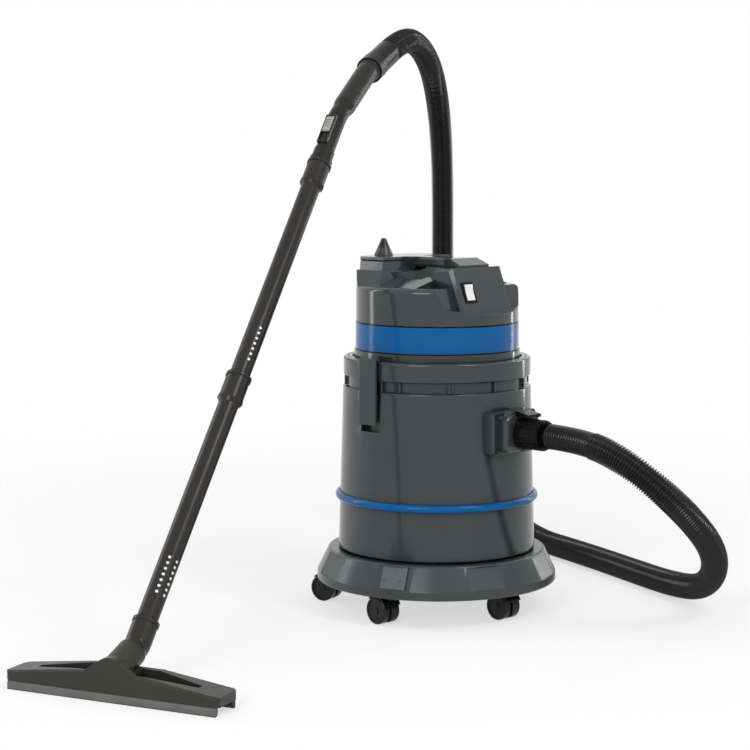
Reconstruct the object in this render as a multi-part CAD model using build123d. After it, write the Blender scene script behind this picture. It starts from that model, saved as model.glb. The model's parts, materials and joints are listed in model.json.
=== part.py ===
from build123d import *
import math
import os

# Wet and dry shop vacuum with hose, wand and squeegee floor tool. Millimetres and degrees.
# The canister's axis is Z, its hose inlet faces -Y, and the floor is z = 0.

# A height above the whole canister, and a gap for parts that turn on each other
sky = 800.0
running_gap = 0.06

# Trolley base
lip_radius = 221.0
lip_bottom = 54.0
lip_top = 69.5
lip_round = 2.5
skirt_top = 112.0
skirt_top_radius = 199.0
skirt_thickness = 6.0
skirt_round = 5.0
well_radius = 178.0
well_wall = 5.0
well_floor_top = 66.0
well_floor_thickness = 4.0
facet_angles = (-158.0, -112.0, -68.0, -22.0, 22.0, 68.0, 112.0, 158.0)
facet_width = 68.0
facet_depth = 3.2
pad_angle = -68.0
pad_dimples = ((-17.0, -8.0), (13.0, -9.0), (2.0, 9.0))
pad_dimple_radius = 4.5
pad_dimple_depth = 1.5

# Castors
castor_angles = (0.0, 72.0, 144.0, 216.0, 288.0)
castor_trail_angles = (88.0, 70.0, 80.0, 105.0, 87.0)
castor_circle = 187.0
castor_trail = 22.0
wheel_radius = 24.5
wheel_width = 15.0
wheel_gap = 0.5
wheel_chamfer = 1.8
wheel_rim = 5.0
hub_radius = 6.0
axle_radius = 3.0
hood_web = 7.0
hood_radius = 27.5
hood_top = 52.5
hood_reach = 17.0
fender_bottom = 35.0
seat_radius = 9.0
stem_radius = 5.5
stem_bottom = 46.5
stem_top = 90.0
stem_collar_radius = 8.0
boss_radius = 13.0

# Tank
tank_foot_radius = 173.5
tank_foot_round = 14.0
tank_flare_radius = 181.0
tank_flare_height = 114.5
tank_shoulder_radius = 172.5
tank_wall = 3.5
groove_bottom = 412.0
groove_radius = 165.0
groove_rib_count = 12
groove_rib_start = 20.5
groove_rib_width = 3.0
rim_bottom = 433.0
rim_top = 466.0
rim_radius = 171.5
rim_round = 4.0
rim_inner_radius = 163.0
ledge_height = 450.0
ledge_radius = 155.0
bumper_height = 210.0
bumper_section = 7.5
bumper_circle = 179.4

# Latches on both sides of the tank
latch_width = 41.0
latch_bottom = 354.0
latch_face = 182.0
latch_thickness = 5.0
latch_pivot_x = 170.0
latch_pivot_z = 400.0
latch_pin_radius = 2.5
latch_pin_length = 34.0
latch_hook = 4.0
pocket_floor = 160.0
pocket_width = 46.0
pocket_bottom = 340.0
lug_inside = 13.0
lug_width = 4.0

# Hose inlet
inlet_height = 342.0
inlet_bore = 24.3
inlet_flange_width = 110.0
inlet_flange_height = 75.0
inlet_flange_face = 190.0
inlet_block_width = 86.0
inlet_block_height = 63.0
inlet_block_face = 210.0
inlet_cheek_height = 9.0
inlet_spigot_radius = 28.0
inlet_spigot_end = 160.0
inlet_seal_radius = 29.0
inlet_seal_depth = 4.0
inlet_screw_radius = 2.0
inlet_screw_head = 4.2
catch_half_width = 17.0
catch_pivot_y = -198.0
catch_pivot_rise = 5.0
catch_pin_radius = 1.8
catch_pin_length = 41.0
deflector_radius = 150.0
deflector_thickness = 3.0
deflector_half_width = 60.0
deflector_half_height = 45.0
cuff_start = 212.5
cuff_end = 262.0
cuff_radius = 26.0
cuff_rib_count = 22
cuff_rib_radius = 1.5

# Motor head
head_plate_radius = 162.0
head_plate_top = 462.0
head_bead = 6.0
head_ring_radius = 152.0
head_ring_top = 479.0
drum_radius = 146.0
band_radius = 149.5
band_bottom = 480.0
band_top = 529.0
cover_bottom = 530.0
cover_radius = 148.5
cover_wall = 4.0
cover_round = 9.0
deck_height = 596.0
deck_crown = 613.0
tier_height = 622.0
tower_top = 646.0
cap_height = 5.0
rear_edge = 160.0
panel_foot = (-131.0, 554.0)
panel_head = (-101.0, 631.0)
panel_middle = -5.5
panel_half_width = 67.0
panel_bevel = 5.0
tower_back_top = (-61.0, 628.0)
tower_back_foot = (-45.0, 608.0)
tower_root = 12.0
recess_foot = (-112.0, 560.0)
recess_head = (-98.5, 597.5)
ledge_fall = 0.33
root_front = -97.0
root_front_top = 635.0
root_shoulder = -66.0
root_back = -34.0
root_half_width = 38.0
bar_half_width = 19.0
bar_front = -60.0
bar_rear = 80.0
bar_chamfer = 4.0
bar_underside = 628.0
head_screw_circle = 120.0
head_screw_angles = (60.0, 120.0, 240.0, 300.0)
head_screw_radius = 2.0
head_boss_radius = 7.0
gland_x = -20.0
gland_y = 118.0
gland_base_radius = 18.0
gland_tip_radius = 4.0
gland_length = 31.0
gland_stem_radius = 4.3
gland_bore = 2.6

# Rocker switch on the slanted panel
switch_x = -44.0
switch_height = 588.0
rocker_width = 20.0
rocker_length = 30.0
rocker_depth = 9.0
rocker_high = 5.5
rocker_low = 2.6
frame_border = 4.0
frame_lip = 2.5
frame_depth = 24.0
frame_wall = 1.5
rocker_gap = 0.4

# Motor, filter and float
casing_radius = 70.0
casing_wall = 2.5
casing_top = 576.0
casing_web = 506.0
web_thickness = 8.0
vent_height = 34.0
impeller_radius = 58.0
impeller_bottom = 480.0
impeller_height = 20.0
impeller_hub = 12.0
impeller_eye = 26.0
stator_radius = 50.0
stator_bottom = 518.0
stator_top = 552.0
winding_overhang = 3.0
armature_radius = 33.5
commutator_radius = 18.0
shaft_radius = 5.0
bearing_radius = 12.0
bearing_width = 7.0
cage_bar_circle = 52.0
cage_bottom = 292.0
cage_plate = 4.0
cage_opening = 41.0
cartridge_outer = 76.0
cartridge_inner = 58.0
cartridge_cap = 7.0
pleat_count = 48
pleat_depth = 6.0
float_radius = 26.0
float_height = 322.3
suction_hole = 22.0

# Hose
hose_radius = 24.0
hose_root_radius = 21.5
hose_bore = 19.0
hose_rib_count = 180
hose_route = [
    (0, -262, 342), (0, -350, 342), (14, -428, 312), (50, -485, 260), (113, -506, 200), (190, -489, 140),
    (264, -437, 80), (322, -364, 36), (362, -270, 24), (400, -160, 24), (440, -50, 24), (478, 65, 24),
    (497, 170, 28), (502, 263, 62), (489, 337, 135), (466, 386, 235), (451, 401, 350), (444, 400, 480),
    (440, 398, 610), (437, 395, 735), (428, 390, 845), (405, 379, 940), (352, 350, 1012), (268, 306, 1053),
]
hose_end = Vector(107.5, 234.5, 1026)
hose_end_run = 78.0

# Wand, hand grip and floor tool
wand_heading = 19.7
cuff_tilt = 24.0
grip_tilt = 34.5
wand_tilt = 49.6
neck_tilt = 20.0
swivel_cuff_length = 62.0
swivel_spigot = 28.0
swivel_wall = 3.0
grip_head_run = 45.0
grip_run = 146.0
stub_run = 112.0
sleeve_radius = 19.0
grip_radius = 20.5
grip_bore = 14.5
grip_bend_radius = 90.0
grip_sleeve = 30.0
thick_start = 36.0
collar_radius = 26.0
collar_length = 27.0
tube_radius = 17.5
tube_wall = 1.6
socket_radius = 21.0
socket_length = 50.0
socket_depth = 28.0
socket_taper = 8.0
socket_gap = 0.1
elbow_corner_height = 69.0
elbow_arm = 45.0
elbow_foot = 20.0
elbow_bend_radius = 30.0
elbow_socket = 25.0
neck_run = 55.0
neck_radius = 23.5
neck_bore = 15.0
neck_spigot = 17.0
neck_spigot_length = 16.0
slide_place = 69.0
slide_travel = 18.0
slide_length = 34.0
slide_width = 15.0
slide_height = 6.0
slide_ribs = (-8.0, -4.0, 0.0, 4.0, 8.0)

tool_length = 384.0
tool_depth = 60.0
tool_bottom = 14.0
tool_end_height = 29.0
tool_mid_height = 45.0
tool_mid_half = 62.0
tool_hump_top = 70.0
tool_hump_radius = 25.0
tool_pocket_end = 145.0
tool_throat = 13.0
mouth_height = 6.0
lip_length = 374.0
lip_thickness = 9.0


def disc(radius, low, high, x=0.0, y=0.0):
    return Pos(x, y, low) * Cylinder(radius, high - low, align=(Align.CENTER, Align.CENTER, Align.MIN))


def pipe(outer, inner, low, high, x=0.0, y=0.0):
    return disc(outer, low, high, x, y) - disc(inner, low - 1, high + 1, x, y)


def block(low, high):
    size = [high[i] - low[i] for i in range(3)]
    return Pos(*low) * Box(*size, align=(Align.MIN, Align.MIN, Align.MIN))


def turned(outline, rounds):
    """Revolve an (r, z) outline about Z. rounds gives a radius for some corners, by their number."""
    face = make_face(Polyline(*[(r, 0, z) for r, z in outline], close=True)).face()
    for number, radius in rounds.items():
        corner = Vector(outline[number][0], 0, outline[number][1])
        nearest = min(face.vertices(), key=lambda vertex: (vertex.center() - corner).length)
        face = face.fillet_2d(radius, [nearest])
    return revolve(face, Axis.Z)


def spread(shape, angles):
    return [Rot(0, 0, angle) * shape for angle in angles]


def direction(tilt):
    flat = math.cos(math.radians(tilt))
    turn = math.radians(wand_heading)
    return Vector(flat * math.cos(turn), flat * math.sin(turn), math.sin(math.radians(tilt)))


def rod(radius, start, axis, low, high):
    frame = Plane(origin=start + axis * low, x_dir=wand_side, z_dir=axis)
    return frame.location * Cylinder(radius, high - low, align=(Align.CENTER, Align.CENTER, Align.MIN))


def taper_rod(low_radius, high_radius, start, axis, low, high):
    frame = Plane(origin=start + axis * low, x_dir=wand_side, z_dir=axis)
    cone = Cone(low_radius, high_radius, high - low, align=(Align.CENTER, Align.CENTER, Align.MIN))
    return frame.location * cone


def prism_x(outline, low, high):
    """Extrude a (y, z) outline along X from low to high."""
    face = make_face(Polyline(*[(low, y, z) for y, z in outline], close=True))
    return extrude(face, amount=high - low, dir=(1, 0, 0))


def slab(low_corners, low, high_corners, high):
    """Loft between two (x, y) outlines at two heights."""
    sections = []
    for corners, height in ((low_corners, low), (high_corners, high)):
        sections.append(make_face(Polyline(*[(x, y, height) for x, y in corners], close=True)))
    return loft(sections)


def rectangle(half_x, low_y, high_y):
    return [(-half_x, low_y), (half_x, low_y), (half_x, high_y), (-half_x, high_y)]


wand_side = Vector(math.sin(math.radians(wand_heading)), -math.cos(math.radians(wand_heading)), 0)
up = Vector(0, 0, 1)

# The wand is laid out from the hose's end down to the floor tool.
swivel_point = hose_end - direction(cuff_tilt) * swivel_cuff_length
high_bend = swivel_point - direction(cuff_tilt) * grip_head_run
low_bend = high_bend - direction(grip_tilt) * grip_run
grip_foot = low_bend - direction(wand_tilt) * stub_run
wand_run = (grip_foot.Z - elbow_corner_height) / math.sin(math.radians(wand_tilt))
elbow_corner = grip_foot - direction(wand_tilt) * wand_run
tool_middle = elbow_corner - direction(neck_tilt) * neck_run
tool_frame = Plane(origin=(tool_middle.X, tool_middle.Y, 0), x_dir=wand_side, z_dir=up)
neck_seat = neck_run - elbow_foot
middle_joint = (elbow_arm + wand_run) / 2


def castor_place(number):
    angle = math.radians(castor_angles[number])
    return castor_circle * math.sin(angle), -castor_circle * math.cos(angle)


def base_facets():
    """What is cut from the skirt's slope: flat facets, one of them with three dimples."""
    slope = math.degrees(math.atan2(lip_radius - 1 - skirt_top_radius, skirt_top - lip_top))
    middle_radius = (lip_radius - 1 + skirt_top_radius) / 2
    middle_height = (lip_top + skirt_top) / 2
    flat = Box(facet_width, 20, 60, align=(Align.CENTER, Align.MAX, Align.CENTER))
    flat = Pos(0, facet_depth - middle_radius, middle_height) * Rot(-slope, 0, 0) * flat
    flat &= block((-facet_width, -300, lip_top), (facet_width, 0, skirt_top - 3))
    cuts = spread(flat, facet_angles)
    pad = Pos(0, facet_depth + pad_dimple_depth - middle_radius, middle_height) * Rot(90 - slope, 0, 0)
    for x, y in pad_dimples:
        cuts.append(Rot(0, 0, pad_angle) * pad * disc(pad_dimple_radius, 0, 20, x, y))
    return cuts


def make_trolley_base():
    inner_top = skirt_top - skirt_thickness
    floor_under = well_floor_top - well_floor_thickness
    shell = turned([
        (lip_radius - skirt_thickness, lip_bottom), (lip_radius, lip_bottom), (lip_radius - 1, lip_top),
        (skirt_top_radius, skirt_top), (well_radius, skirt_top), (well_radius, well_floor_top),
        (0, well_floor_top), (0, floor_under), (well_radius + well_wall, floor_under),
        (well_radius + well_wall, inner_top), (skirt_top_radius - skirt_thickness, inner_top),
        (lip_radius - skirt_thickness - 1, lip_top - 2),
    ], {1: lip_round, 2: lip_round, 3: skirt_round, 4: lip_round})
    room_inner = castor_circle - boss_radius - 2
    room = turned([
        (room_inner, lip_bottom + 1), (lip_radius - 3, lip_bottom + 1), (lip_radius - 3, lip_top - 1),
        (skirt_top_radius - 3, skirt_top - 3), (well_radius + 2, skirt_top - 3),
        (well_radius + 2, well_floor_top - 2), (room_inner, well_floor_top - 2),
    ], {})
    places = [castor_place(number) for number in range(len(castor_angles))]
    for x, y in places:
        shell += disc(boss_radius, lip_bottom, skirt_top, x, y) & room
    for x, y in places:
        shell -= disc(stem_radius + running_gap, lip_bottom - 1, stem_top + 1, x, y)
    for cut in base_facets():
        shell -= cut
    return shell


def castor_frame(number):
    x, y = castor_place(number)
    return Pos(x, y, 0) * Rot(0, 0, castor_trail_angles[number])


def axle_disc(radius, low, high):
    return Pos(castor_trail, 0, wheel_radius) * Rot(-90, 0, 0) * disc(radius, low, high)


def make_castor_hood():
    half = hood_web / 2
    width = half + wheel_gap + wheel_width
    tyre_room = axle_disc(wheel_radius + 1, -width - 1, width + 1)
    web = axle_disc(hood_radius, -half, half) & block((-30, -half, 14), (60, half, 60))
    fender = axle_disc(hood_radius, -width, width) - tyre_room
    fender &= block((-10, -width, fender_bottom), (castor_trail + hood_reach, width, 60))
    seat = disc(seat_radius, stem_bottom - 0.2, hood_top) - tyre_room
    hood = web + fender + seat
    hood -= axle_disc(axle_radius + running_gap, -width, width)
    hood -= disc(stem_radius, stem_bottom, hood_top + 1)
    return hood


def make_castor_stem():
    return disc(stem_radius, stem_bottom, stem_top) + disc(stem_collar_radius, hood_top, lip_bottom + 0.6)


def make_castor_wheels():
    low = hood_web / 2 + wheel_gap
    high = low + wheel_width
    wheel = axle_disc(wheel_radius, low, high)
    wheel = chamfer(wheel.edges().filter_by(GeomType.CIRCLE), wheel_chamfer)
    wheel -= axle_disc(wheel_radius - wheel_rim, high - 1.5, high + 1)
    wheel += axle_disc(hub_radius, high - 2, high)
    return axle_disc(axle_radius, -high, high) + wheel + mirror(wheel, about=Plane.XZ)


def tank_radius(height):
    share = (height - tank_flare_height) / (groove_bottom - tank_flare_height)
    return tank_flare_radius + share * (tank_shoulder_radius - tank_flare_radius)


def tank_skin(offset):
    """The tank's tapered wall as a solid, grown or shrunk by an offset."""
    low = tank_flare_height
    return turned([(0, low), (tank_flare_radius + offset, low),
                   (tank_shoulder_radius + offset, groove_bottom), (0, groove_bottom)], {})


def make_tank():
    inner_foot = tank_foot_radius - tank_wall
    inner_shoulder = tank_shoulder_radius - tank_wall
    foot = well_floor_top
    tank = turned([
        (0, foot), (tank_foot_radius - 1, foot), (tank_foot_radius, tank_flare_height - 2),
        (tank_flare_radius, tank_flare_height), (tank_shoulder_radius, groove_bottom),
        (groove_radius, groove_bottom + 2), (groove_radius, rim_bottom - 2), (rim_radius, rim_bottom),
        (rim_radius, rim_top), (rim_inner_radius, rim_top), (rim_inner_radius, ledge_height),
        (ledge_radius, ledge_height), (ledge_radius, ledge_height - 10), (groove_radius - 4, groove_bottom),
        (inner_shoulder, groove_bottom - 10), (tank_flare_radius - tank_wall, tank_flare_height + 8),
        (inner_foot, tank_flare_height), (inner_foot - 1, foot + 20), (inner_foot - 7, foot + 8),
        (inner_foot - 16, foot + 4), (0, foot + 4),
    ], {1: tank_foot_round, 3: 2.5, 4: 2.5, 7: 1.5, 8: rim_round, 9: 1.5})
    half_rib = groove_rib_width / 2
    rib = block((-half_rib, 1.2 - rim_radius, groove_bottom + 2),
                (half_rib, 1 - groove_radius, rim_bottom - 2))
    for index in range(groove_rib_count):
        tank += Rot(0, 0, groove_rib_start + index * 360 / groove_rib_count) * rib
    half = pocket_width / 2
    lining = block((pocket_floor - tank_wall, -half - tank_wall, pocket_bottom - tank_wall),
                   (tank_shoulder_radius, half + tank_wall, rim_bottom))
    lining &= disc(tank_shoulder_radius - 0.5, 0, rim_bottom)
    pocket = block((pocket_floor, -half, pocket_bottom), (200, half, rim_bottom - 1))
    lugs = block((pocket_floor - 1, lug_inside, latch_pivot_z - 7),
                 (latch_pivot_x + 4, lug_inside + lug_width, latch_pivot_z + 7))
    lugs += mirror(lugs, about=Plane.XZ)
    lugs -= Pos(latch_pivot_x, 0, latch_pivot_z) * Rot(90, 0, 0) * Cylinder(latch_pin_radius, 60)
    tank = tank + lining - pocket + lugs
    lining, pocket, lugs = [mirror(item, about=Plane.YZ) for item in (lining, pocket, lugs)]
    tank = tank + lining - pocket + lugs
    return tank - inlet_disc(inlet_spigot_radius + 0.4, 120, 200)


def make_bumper_ring():
    section = Pos(bumper_circle, bumper_height) * Circle(bumper_section)
    seat = tank_radius(bumper_height - bumper_section) + 0.3
    section -= Pos(seat - 20, bumper_height) * Rectangle(40, 40)
    return revolve(Plane.XZ * section, Axis.Z)


def make_latch():
    half = latch_width / 2
    inner_face = latch_face - latch_thickness
    top = rim_top + 2 + latch_hook
    plate = block((inner_face, -half, latch_bottom), (latch_face, half, top))
    plate = fillet(plate.edges().filter_by(Axis.Z).group_by(Axis.X)[-1], 2)
    hook = block((rim_inner_radius + 3, latch_hook - half, rim_top + 2), (inner_face, half - latch_hook, top))
    ears = block((latch_pivot_x - 5, lug_inside - 4.5, latch_pivot_z - 6),
                 (inner_face, lug_inside - 0.5, latch_pivot_z + 6))
    ears += mirror(ears, about=Plane.XZ)
    hole = Cylinder(latch_pin_radius + running_gap, 60)
    return plate + hook + ears - Pos(latch_pivot_x, 0, latch_pivot_z) * Rot(90, 0, 0) * hole


def make_latch_pins():
    pin = Pos(latch_pivot_x, 0, latch_pivot_z) * Rot(90, 0, 0) * Cylinder(latch_pin_radius, latch_pin_length)
    return [pin, mirror(pin, about=Plane.YZ)]


def inlet_disc(radius, low, high, x=0.0, z=0.0):
    """A cylinder on the inlet's axis, from low to high along -Y."""
    return Pos(0, 0, inlet_height) * Rot(90, 0, 0) * disc(radius, low, high, x, z)


def inlet_corners():
    across = inlet_flange_width / 2 - 6
    high = inlet_flange_height / 2 - 6
    return [(x, z) for x in (-across, across) for z in (-high, high)]


def catch_bore(radius, length):
    place = Pos(0, catch_pivot_y, inlet_height + inlet_block_height / 2 + catch_pivot_rise)
    return place * Rot(0, 90, 0) * Cylinder(radius, length)


def make_inlet_housing():
    low = inlet_height - inlet_flange_height / 2
    high = inlet_height + inlet_flange_height / 2
    half = inlet_flange_width / 2
    flange = block((-half, -inlet_flange_face, low), (half, -100, high))
    flange = chamfer(flange.edges().filter_by(Axis.Y), 3)
    flange -= tank_skin(0.3)
    half = inlet_block_width / 2
    low = inlet_height - inlet_block_height / 2
    high = inlet_height + inlet_block_height / 2
    body = block((-half, -inlet_block_face, low), (half, 2 - inlet_flange_face, high))
    body = chamfer(body.edges().filter_by(Axis.Y), 5)
    body = chamfer(body.faces().sort_by(Axis.Y)[0].edges(), 2)
    lug = catch_half_width + 0.5
    cheek_outline = [(lug, high - 1), (half - 5, high - 1), (half - 6, high),
                     (lug + 5, high + inlet_cheek_height), (lug, high + inlet_cheek_height)]
    cheek = make_face(Polyline(*[(x, -inlet_flange_face - 1, z) for x, z in cheek_outline], close=True))
    cheek = extrude(cheek, amount=inlet_block_face - inlet_flange_face - 4, dir=(0, -1, 0))
    housing = flange + body + cheek + mirror(cheek, about=Plane.YZ)
    housing += inlet_disc(inlet_spigot_radius, inlet_spigot_end, inlet_flange_face - 1)
    housing -= inlet_disc(inlet_bore, 120, 260)
    housing -= inlet_disc(inlet_seal_radius, inlet_block_face - inlet_seal_depth, 260)
    housing -= block((-7, -inlet_block_face - 1, low - 1), (7, 8 - inlet_block_face, low + 4))
    for x, z in inlet_corners():
        housing -= inlet_disc(inlet_screw_radius, 150, 200, x, z)
    return housing - catch_bore(catch_pin_radius, catch_pin_length)


def make_inlet_seal():
    seal = inlet_disc(inlet_seal_radius - 0.2, inlet_block_face - inlet_seal_depth, inlet_block_face)
    return seal - inlet_disc(inlet_bore + 0.05, 0, 260)


def make_inlet_screws():
    screws = []
    head_face = inlet_flange_face + 2.2
    for x, z in inlet_corners():
        screw = inlet_disc(inlet_screw_radius, 178, inlet_flange_face, x, z)
        screw += inlet_disc(inlet_screw_head, inlet_flange_face, head_face, x, z)
        screws.append(screw - Pos(x, -head_face, inlet_height + z) * Box(5.5, 1.6, 1))
    return screws


def make_inlet_catch():
    top = inlet_height + inlet_block_height / 2
    tab = prism_x([(-192, top + 2.4), (-192, top + 8), (-206, top + 9.5), (-236, top + 4), (-236, top - 1.5),
                   (-232, top - 1.5), (-214, top + 1), (-200, top + 1)], -catch_half_width, catch_half_width)
    tab = chamfer(tab.edges().filter_by(Axis.X).group_by(Axis.Z)[-1], 2)
    return tab - catch_bore(catch_pin_radius + running_gap, 60)


def make_inlet_catch_pin():
    return catch_bore(catch_pin_radius, catch_pin_length)


def make_inlet_deflector():
    low = inlet_height - deflector_half_height
    high = inlet_height + deflector_half_height
    across = deflector_half_width
    shield = pipe(deflector_radius, deflector_radius - deflector_thickness, low, high)
    shield &= block((-across, -200, low), (across, -100, high))
    inner_wall = tank_skin(-tank_wall - 0.4)
    for x in (-across, across - deflector_thickness):
        shield += block((x, -200, low), (x + deflector_thickness, -135, high)) & inner_wall
    return shield


def make_hose_inlet_cuff():
    cuff = inlet_disc(inlet_bore - 0.1, 172, cuff_start + 1) + inlet_disc(cuff_radius, cuff_start, cuff_end)
    rib = inlet_disc(cuff_rib_radius, cuff_start + 6, cuff_end - 10, 0, cuff_radius)
    to_axis = Pos(0, 0, inlet_height)
    for index in range(cuff_rib_count):
        cuff += to_axis * Rot(0, index * 360 / cuff_rib_count, 0) * to_axis.inverse() * rib
    cuff += inlet_disc(cuff_radius + 2, cuff_start, cuff_start + 5)
    cuff += inlet_disc(cuff_radius + 1.5, cuff_end - 10, cuff_end - 4)
    return cuff - inlet_disc(hose_bore, 100, 300)


def make_head_base():
    base = disc(head_plate_radius, ledge_height + 2, head_plate_top)
    base += pipe(head_plate_radius, head_plate_radius - head_bead, head_plate_top - 1, rim_top)
    base += disc(head_ring_radius, head_plate_top - 1, head_ring_top)
    base += disc(drum_radius, head_ring_top - 1, cover_bottom - 1)
    base -= disc(drum_radius - cover_wall, head_plate_top, sky)
    base -= disc(suction_hole, 0, sky)
    return base - pipe(head_plate_radius - 1, ledge_radius + 1.5, ledge_height, ledge_height + 4)


def make_head_seal():
    return pipe(head_plate_radius - 1.1, ledge_radius + 1.6, ledge_height + 0.3, ledge_height + 4)


def make_head_band():
    return pipe(band_radius, drum_radius, band_bottom, band_top)


def panel_point(height):
    share = (height - panel_foot[1]) / (panel_head[1] - panel_foot[1])
    return panel_foot[0] + share * (panel_head[0] - panel_foot[0])


def panel_plane():
    run = panel_head[0] - panel_foot[0]
    rise = panel_head[1] - panel_foot[1]
    origin = (switch_x, panel_point(switch_height), switch_height)
    return Plane(origin=origin, x_dir=(1, 0, 0), z_dir=(0, -rise, run))


def front_tower_outline(inset):
    front = panel_foot[0] + inset
    back = tower_back_foot[0] - inset
    return [(front, panel_foot[1] - tower_root), (front, panel_foot[1]),
            (panel_head[0] + inset, panel_head[1] - inset), (tower_back_top[0], tower_back_top[1] - inset),
            (back, tower_back_foot[1] - inset), (back, panel_foot[1] - tower_root)]


def bevelled_prism(outline, half, bevel):
    """Extrude an outline along X, with its two ends drawn in by the bevel."""
    sections = []
    for x, inset in ((-half, bevel), (bevel - half, 0), (half - bevel, 0), (half, bevel)):
        sections.append(make_face(Polyline(*[(x, y, z) for y, z in outline(inset)], close=True)))
    return loft(sections, ruled=True)


def front_recess(grow):
    """The space in front of the drum's slanted face, above its ledge."""
    front = -cover_radius - 20
    ledge_front = recess_foot[1] - ledge_fall * (recess_foot[0] - front)
    back = recess_head[0] + grow
    outline = [(front, ledge_front - grow), (recess_foot[0] + grow, recess_foot[1] - grow),
               (back, recess_head[1]), (back, tower_top), (front, tower_top)]
    return prism_x(outline, -cover_radius, cover_radius)


def make_handle_root():
    """The bar's front end, which widens and slopes down to the panel's top edge."""
    side = prism_x([(root_front, tier_height), (root_front, root_front_top), (root_shoulder, tower_top),
                    (root_back, tower_top), (root_back, bar_underside), (root_shoulder + 8, deck_crown)],
                   -cover_radius, cover_radius)
    wide = root_half_width
    plan = [(panel_middle - wide, root_front), (panel_middle + wide, root_front), (wide - 4, root_shoulder),
            (bar_half_width, root_back), (-bar_half_width, root_back), (2 - wide, root_shoulder)]
    return side & slab(plan, deck_crown - 1, plan, tower_top + 1)


def rear_tiers(room):
    """Two steps and a cap plate on the rear of the head."""
    cap_bottom = tower_top - cap_height
    low = slab(rectangle(122, 30, rear_edge), deck_height - 4, rectangle(100, 44, rear_edge), tier_height)
    high = slab(rectangle(98, 46, rear_edge), tier_height - 4, rectangle(86, 54, rear_edge), cap_bottom)
    high += slab(rectangle(90, 50, rear_edge), cap_bottom, rectangle(87, 52, rear_edge), tower_top)
    return (low & room) + (high & disc(cover_radius - 7, 0, sky))


def handle_wedges():
    """Slanted webs that carry the bar's rear end."""
    inner = bar_half_width - 5
    wedge = slab([(inner, 26), (62, 70), (inner, 70)], tower_top - 0.5,
                 [(inner, 56), (30, 70), (inner, 70)], deck_crown - 6)
    return [wedge, mirror(wedge, about=Plane.YZ)]


def cover_hollow():
    drum = disc(cover_radius - cover_wall, cover_bottom - 1, deck_height - 10)
    drum -= front_recess(cover_wall + 0.5)
    rear = slab(rectangle(92, 60, rear_edge), deck_height - 14, rectangle(78, 64, rear_edge), tower_top - 6)
    rear &= disc(cover_radius - 12, 0, sky)
    front = prism_x(front_tower_outline(cover_wall + 2), 8 - panel_half_width, panel_half_width - 8)
    front = Pos(panel_middle, 0, 0) * front & disc(cover_radius - cover_wall, 0, sky)
    return [drum, rear, front]


def make_head_cover():
    drum = disc(cover_radius, cover_bottom, deck_height)
    drum = fillet(drum.edges().group_by(Axis.Z)[-1], cover_round)
    room = disc(cover_radius - 1, 0, sky)
    deck = slab(rectangle(134, -62, 62), deck_height - 3, rectangle(62, -62, 62), deck_crown) & room
    tower = Pos(panel_middle, 0, 0) * bevelled_prism(front_tower_outline, panel_half_width, panel_bevel)
    bar = block((-bar_half_width, bar_front, bar_underside), (bar_half_width, bar_rear, tower_top))
    bar = chamfer(bar.edges().filter_by(Axis.Y), bar_chamfer)
    well = slab(rectangle(70, -30, 40), deck_height + 2, rectangle(90, -36, 46), tower_top + 1)
    cover = drum + deck - front_recess(0) + rear_tiers(room) + (tower & room)
    cover = cover - well + bar + make_handle_root() + handle_wedges()
    for hollow in cover_hollow():
        cover -= hollow
    cover -= panel_plane().location * Box(rocker_width + 4, rocker_length + 4, 60)
    cover -= disc(gland_stem_radius + 0.2, deck_height, sky, gland_x, gland_y)
    for x, y in head_screw_places():
        boss = disc(head_boss_radius, cover_bottom, deck_height - 8, x, y)
        cover += boss - disc(head_screw_radius + 0.2, 0, deck_height - 12, x, y)
    return cover


def head_screw_places():
    angles = [math.radians(angle) for angle in head_screw_angles]
    return [(head_screw_circle * math.sin(angle), -head_screw_circle * math.cos(angle)) for angle in angles]


def make_head_screws():
    screws = []
    for x, y in head_screw_places():
        screw = disc(head_screw_radius, head_plate_top + 2, deck_height - 14, x, y)
        screws.append(screw + disc(5, head_plate_top, head_plate_top + 4, x, y))
    return screws


def make_cord_gland():
    standing = (Align.CENTER, Align.CENTER, Align.MIN)
    cone = Cone(gland_base_radius, gland_tip_radius, gland_length, align=standing)
    gland = Pos(gland_x, gland_y, tower_top) * cone
    gland += disc(gland_stem_radius, tower_top - 5, tower_top + 1, gland_x, gland_y)
    return gland - disc(gland_bore, deck_height, sky, gland_x, gland_y)


def make_switch_frame():
    border = 2 * frame_border
    on_panel = (Align.CENTER, Align.CENTER, Align.MIN)
    behind_panel = (Align.CENTER, Align.CENTER, Align.MAX)
    frame = Box(rocker_width + border, rocker_length + border, frame_lip, align=on_panel)
    wall = 2 * (rocker_gap + frame_wall)
    frame += Box(rocker_width + wall, rocker_length + wall, frame_depth, align=behind_panel)
    frame -= Box(rocker_width + 2 * rocker_gap, rocker_length + 2 * rocker_gap, 3 * frame_depth)
    return panel_plane().location * frame


def make_switch_rocker():
    half = rocker_length / 2
    side = prism_x([(-half, -rocker_depth), (half, -rocker_depth), (half, rocker_high), (0, rocker_low),
                    (-half, rocker_low)], -rocker_width / 2, rocker_width / 2)
    return panel_plane().location * (side & Rot(0, 90, 0) * Cylinder(half, rocker_width))


def make_motor_casing():
    casing = pipe(casing_radius, casing_radius - casing_wall, head_plate_top, casing_top)
    for low in (casing_web, casing_top - web_thickness):
        casing += pipe(casing_radius, bearing_radius + 0.02, low, low + web_thickness)
    vent = Pos(casing_radius, 0, (stator_bottom + casing_top) / 2) * Box(12, 10, vent_height)
    for cut in spread(vent, range(0, 360, 30)):
        casing -= cut
    return casing


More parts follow.
